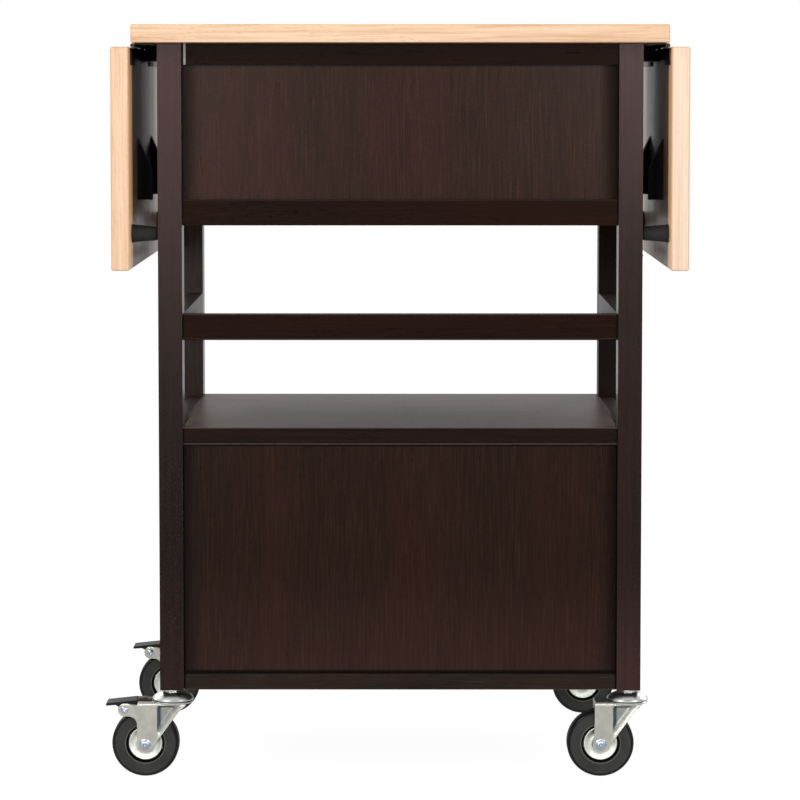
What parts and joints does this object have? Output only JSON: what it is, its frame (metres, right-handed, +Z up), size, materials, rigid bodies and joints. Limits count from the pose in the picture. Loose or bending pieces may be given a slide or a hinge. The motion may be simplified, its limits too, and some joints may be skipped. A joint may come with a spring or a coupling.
{
  "type": "drop leaf kitchen island",
  "caption": "Rolling kitchen island with a worktop, a hinged drop leaf at each end, a drawer, an open shelf and a two-door cupboard on swivel casters.",
  "frame": {"origin": "on the floor under the middle of the cabinet", "axes": "+Z up; +X to the right seen from the panelled back; +Y from the back towards the drawer and doors"},
  "size_m": [0.6567, 0.44, 0.8518],
  "materials": {
    "natural_wood": "clear satin lacquer over pale hardwood",
    "coffee_wood": "dark coffee stain under satin lacquer",
    "drawer_wood": "plain pale plywood",
    "black_plastic": "moulded matte black",
    "rubber": "dark grey rubber",
    "tyre": "charcoal rubber on a zinc plated hub",
    "zinc": "zinc plated pressed steel",
    "nickel": "brushed nickel",
    "black_steel": "black coated steel"
  },
  "bodies": {
    "cabinet": {"post_back_left": "coffee_wood", "post_back_right": "coffee_wood", "post_front_left": "coffee_wood", "post_front_right": "coffee_wood", "top_board": "natural_wood", "back_top_rail": "coffee_wood", "back_upper_panel": "coffee_wood", "back_lower_rail": "coffee_wood", "front_top_rail": "coffee_wood", "drawer_deck": "coffee_wood", "mid_back_rail": "coffee_wood", "mid_side_rail_left": "coffee_wood", "mid_side_rail_right": "coffee_wood", "mid_shelf_board": "coffee_wood", "cabinet_top_board": "coffee_wood", "cabinet_bottom_board": "coffee_wood", "cabinet_back_panel": "coffee_wood", "cabinet_side_panel_left": "coffee_wood", "cabinet_side_panel_right": "coffee_wood", "side_upper_panel_left": "coffee_wood", "side_upper_panel_right": "coffee_wood", "hinge_cleat_left": "black_plastic", "leaf_hinge_plate_left": "zinc", "hinge_cleat_right": "black_plastic", "leaf_hinge_plate_right": "zinc", "caster_stem_back_left": "zinc", "caster_stem_back_right": "zinc", "caster_stem_front_left": "zinc", "caster_stem_front_right": "zinc"},
    "leaf_left": {"leaf_left": "natural_wood", "leaf_hinge_flap_left": "zinc", "leaf_catch_left_back": "black_plastic", "leaf_catch_left_front": "black_plastic", "leaf_bumper_left_back": "rubber", "leaf_bumper_left_front": "rubber"},
    "prop_left": {"leaf_prop_left": "black_steel"},
    "door_left": {"door_left": "coffee_wood", "door_knob_left": "nickel"},
    "leaf_right": {"leaf_right": "natural_wood", "leaf_hinge_flap_right": "zinc", "leaf_catch_right_back": "black_plastic", "leaf_catch_right_front": "black_plastic", "leaf_bumper_right_back": "rubber", "leaf_bumper_right_front": "rubber"},
    "prop_right": {"leaf_prop_right": "black_steel"},
    "door_right": {"door_right": "coffee_wood", "door_knob_right": "nickel"},
    "drawer": {"drawer_front": "coffee_wood", "drawer_box": "drawer_wood", "drawer_knob": "nickel"},
    "caster_back_left": {"caster_fork_back_left": "zinc"},
    "wheel_back_left": {"caster_wheel_back_left": "tyre"},
    "caster_back_right": {"caster_fork_back_right": "zinc"},
    "wheel_back_right": {"caster_wheel_back_right": "tyre"},
    "brake_back": {"brake_lever_back_left": "black_steel"},
    "caster_front_left": {"caster_fork_front_left": "zinc"},
    "wheel_front_left": {"caster_wheel_front_left": "tyre"},
    "caster_front_right": {"caster_fork_front_right": "zinc"},
    "wheel_front_right": {"caster_wheel_front_right": "tyre"},
    "brake_front": {"brake_lever_front_left": "black_steel"}
  },
  "joints": [
    {"name": "leaf_left_hinge", "type": "hinge", "parent": "cabinet", "child": "leaf_left", "pos_m": [-0.2995, 0, 0.8285], "axis": [0, 1, 0], "range_deg": [0, 90]},
    {"name": "prop_left_pivot", "type": "hinge", "parent": "cabinet", "child": "prop_left", "pos_m": [-0.277, 0, 0.7385], "axis": [0, 1, 0], "range_deg": [0, 125.9]},
    {"name": "door_left_hinge", "type": "hinge", "parent": "cabinet", "child": "door_left", "pos_m": [-0.244, 0.2028, 0.24925], "axis": [0, 0, 1], "range_deg": [0, 110]},
    {"name": "leaf_right_hinge", "type": "hinge", "parent": "cabinet", "child": "leaf_right", "pos_m": [0.2995, 0, 0.8285], "axis": [0, -1, 0], "range_deg": [0, 90]},
    {"name": "prop_right_pivot", "type": "hinge", "parent": "cabinet", "child": "prop_right", "pos_m": [0.277, 0, 0.7385], "axis": [0, -1, 0], "range_deg": [0, 125.9]},
    {"name": "door_right_hinge", "type": "hinge", "parent": "cabinet", "child": "door_right", "pos_m": [0.244, 0.2028, 0.24925], "axis": [0, 0, -1], "range_deg": [0, 110]},
    {"name": "drawer_slide", "type": "slide", "parent": "cabinet", "child": "drawer", "axis": [0, 1, 0], "range_m": [0, 0.28]},
    {"name": "caster_back_left_swivel", "type": "hinge", "parent": "cabinet", "child": "caster_back_left", "pos_m": [-0.2585, -0.183, 0.0865], "axis": [0, 0, 1], "continuous": true},
    {"name": "wheel_back_left_roll", "type": "hinge", "parent": "caster_back_left", "child": "wheel_back_left", "pos_m": [-0.2895, -0.183, 0.038], "axis": [0, 1, 0], "continuous": true},
    {"name": "caster_back_right_swivel", "type": "hinge", "parent": "cabinet", "child": "caster_back_right", "pos_m": [0.2585, -0.183, 0.0865], "axis": [0, 0, 1], "continuous": true},
    {"name": "wheel_back_right_roll", "type": "hinge", "parent": "caster_back_right", "child": "wheel_back_right", "pos_m": [0.2275, -0.183, 0.038], "axis": [0, 1, 0], "continuous": true},
    {"name": "brake_back_press", "type": "hinge", "parent": "caster_back_left", "child": "brake_back", "pos_m": [-0.3125, -0.183, 0.0775], "axis": [0, -1, 0], "range_deg": [0, 18]},
    {"name": "caster_front_left_swivel", "type": "hinge", "parent": "cabinet", "child": "caster_front_left", "pos_m": [-0.2585, 0.183, 0.0865], "axis": [0, 0, 1], "continuous": true},
    {"name": "wheel_front_left_roll", "type": "hinge", "parent": "caster_front_left", "child": "wheel_front_left", "pos_m": [-0.2895, 0.183, 0.038], "axis": [0, 1, 0], "continuous": true},
    {"name": "caster_front_right_swivel", "type": "hinge", "parent": "cabinet", "child": "caster_front_right", "pos_m": [0.2585, 0.183, 0.0865], "axis": [0, 0, 1], "continuous": true},
    {"name": "wheel_front_right_roll", "type": "hinge", "parent": "caster_front_right", "child": "wheel_front_right", "pos_m": [0.2275, 0.183, 0.038], "axis": [0, 1, 0], "continuous": true},
    {"name": "brake_front_press", "type": "hinge", "parent": "caster_front_left", "child": "brake_front", "pos_m": [-0.3125, 0.183, 0.0775], "axis": [0, -1, 0], "range_deg": [0, 18]}
  ],
  "couplings": [
    {"joint": "prop_left_pivot", "follows": "leaf_left_hinge", "ratio": 1.3983},
    {"joint": "prop_right_pivot", "follows": "leaf_right_hinge", "ratio": 1.3983}
  ]
}
